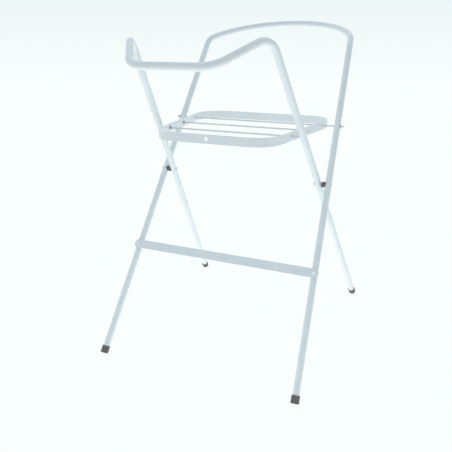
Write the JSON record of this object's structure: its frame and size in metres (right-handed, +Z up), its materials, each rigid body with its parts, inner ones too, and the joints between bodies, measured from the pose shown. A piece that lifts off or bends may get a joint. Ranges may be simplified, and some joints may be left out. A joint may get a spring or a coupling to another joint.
{
  "type": "folding baby bath stand",
  "caption": "Folding stand for a baby bath: crossed tubular frames riveted at pivots, with a rod tray between them that latches the frames open.",
  "frame": {"origin": "on the floor, under the middle of the open stand", "axes": "+X to the stand's right seen from the front bar, +Y to the rear, +Z up"},
  "size_m": [0.6371, 0.9438, 0.9664],
  "materials": {
    "white_powder_coat": "glossy white powder coat on steel",
    "zinc_plated_steel": "bright zinc plate",
    "dark_plastic": "moulded, fine grain"
  },
  "bodies": {
    "outer_frame": {"outer_frame_tube": "white_powder_coat", "crossbar": "white_powder_coat", "crossbar_rivet_left": "zinc_plated_steel", "crossbar_rivet_right": "zinc_plated_steel", "pivot_rivet_left": "zinc_plated_steel", "pivot_rivet_right": "zinc_plated_steel", "pivot_spacer_left": "dark_plastic", "pivot_spacer_right": "dark_plastic", "pivot_washer_left": "zinc_plated_steel", "pivot_washer_right": "zinc_plated_steel", "outer_foot_cap_left": "dark_plastic", "outer_foot_cap_right": "dark_plastic"},
    "inner_frame": {"inner_frame_tube": "white_powder_coat", "latch_rod": "zinc_plated_steel", "latch_collar_left": "dark_plastic", "latch_collar_right": "dark_plastic", "inner_foot_cap_left": "dark_plastic", "inner_foot_cap_right": "dark_plastic"},
    "tray": {"tray_band": "white_powder_coat", "tray_middle_rod": "zinc_plated_steel", "tray_hinge_rod": "zinc_plated_steel", "rod_bush_left": "dark_plastic", "rod_bush_right": "dark_plastic", "hinge_retainer_left": "zinc_plated_steel", "hinge_retainer_right": "zinc_plated_steel"}
  },
  "joints": [
    {"name": "fold", "type": "hinge", "parent": "outer_frame", "child": "inner_frame", "pos_m": [0, -0.02914, 0.50353], "axis": [-1, 0, 0], "range_deg": [0, 62]},
    {"name": "tray_lift", "type": "hinge", "parent": "outer_frame", "child": "tray", "pos_m": [0, 0.08253, 0.6575], "axis": [-1, 0, 0], "range_deg": [0, 118]}
  ],
  "couplings": [
    {"joint": "tray_lift", "follows": "fold", "ratio": 1.9032}
  ]
}
